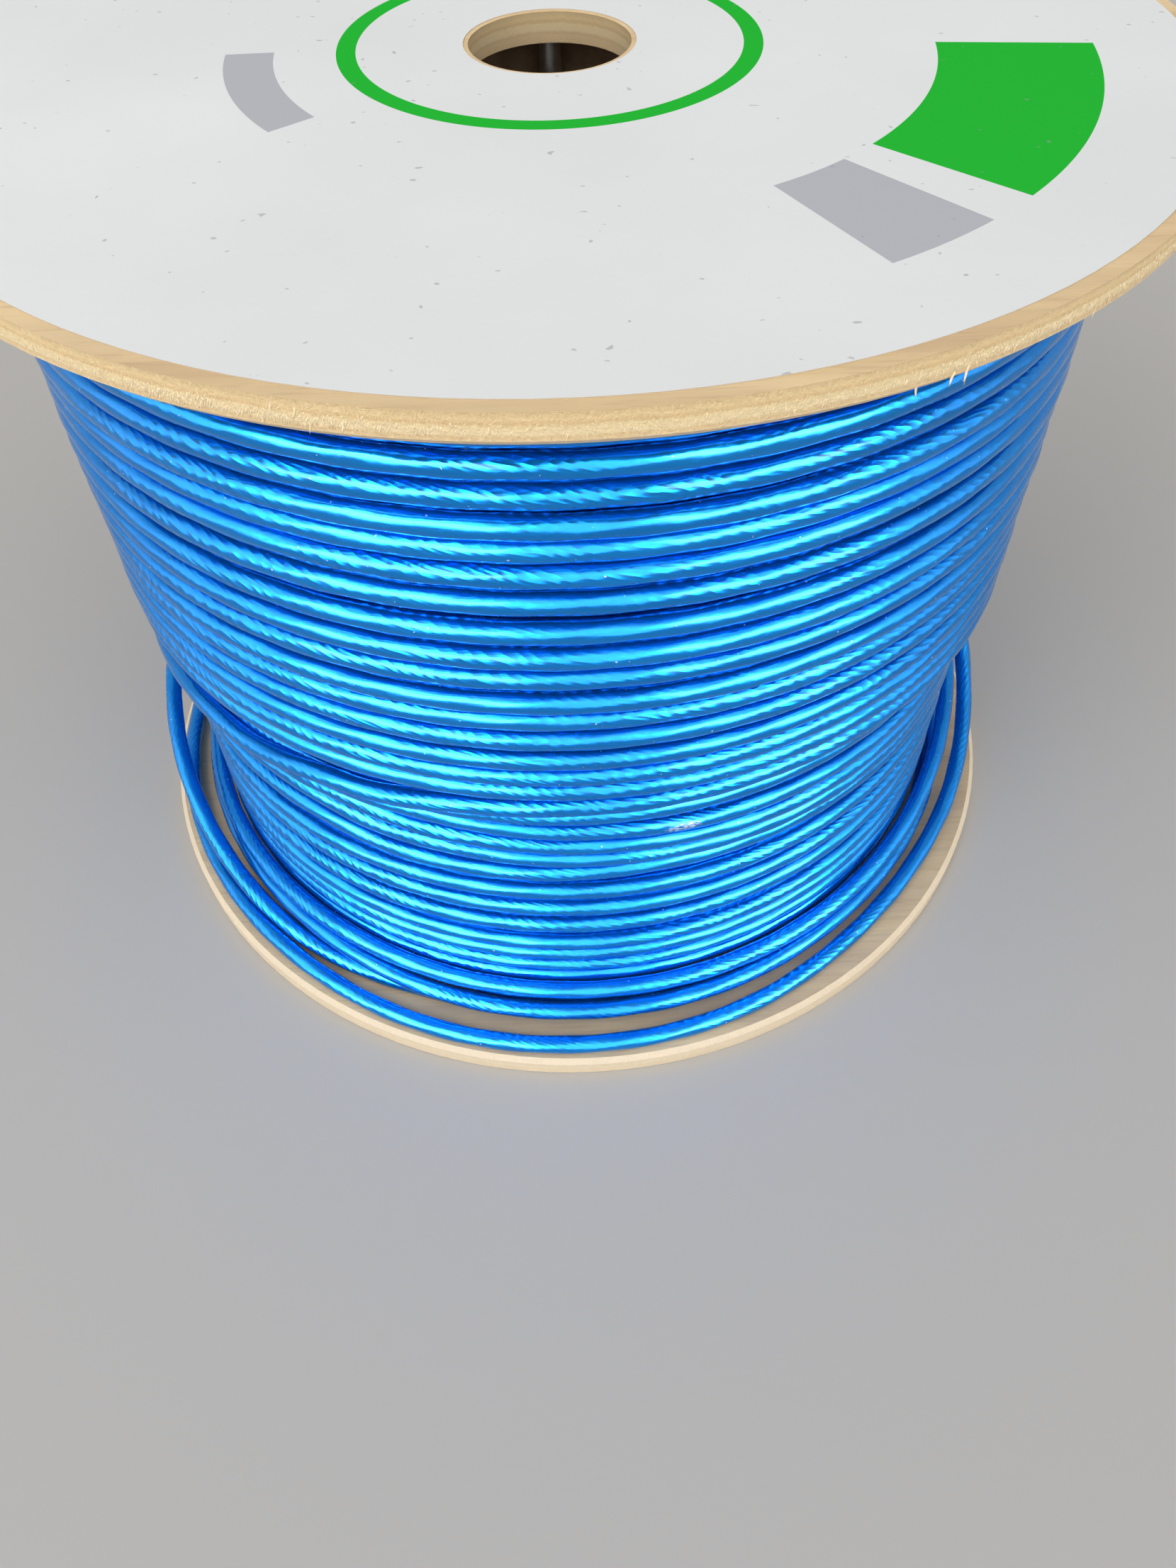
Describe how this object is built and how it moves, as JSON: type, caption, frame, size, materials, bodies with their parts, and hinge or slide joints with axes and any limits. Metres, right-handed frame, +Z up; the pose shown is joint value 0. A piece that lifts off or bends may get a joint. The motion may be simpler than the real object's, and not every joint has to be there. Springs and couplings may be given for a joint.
{
  "type": "wooden cable drum",
  "caption": "Plywood cable drum standing on its end, wound with blue sheathed data cable, with loose turns fallen round the foot of the winding and a printed disc on the top flange.",
  "frame": {"origin": "floor level at the middle of the bottom flange", "axes": "+Z up along the drum's axis, -Y towards the viewer, +X to the viewer's right"},
  "size_m": [0.3999, 0.4, 0.3103],
  "materials": {
    "plywood": "bare sanded plywood with rough sawn edges",
    "cardboard": "bare wound cardboard",
    "label_paper": "smooth coated paper with plain coloured print",
    "cable_sheath": "glossy blue sheath over twisted pairs",
    "zinc_plated_steel": "dull zinc plating"
  },
  "bodies": {
    "root": {"bottom_flange": "plywood", "top_flange": "plywood", "barrel": "cardboard", "flange_label": "label_paper", "cable_winding": "cable_sheath", "loose_cable": "cable_sheath", "tie_bolt_1": "zinc_plated_steel", "tie_bolt_2": "zinc_plated_steel", "tie_bolt_3": "zinc_plated_steel", "tie_nut_1": "zinc_plated_steel", "tie_nut_2": "zinc_plated_steel", "tie_nut_3": "zinc_plated_steel"}
  },
  "joints": []
}
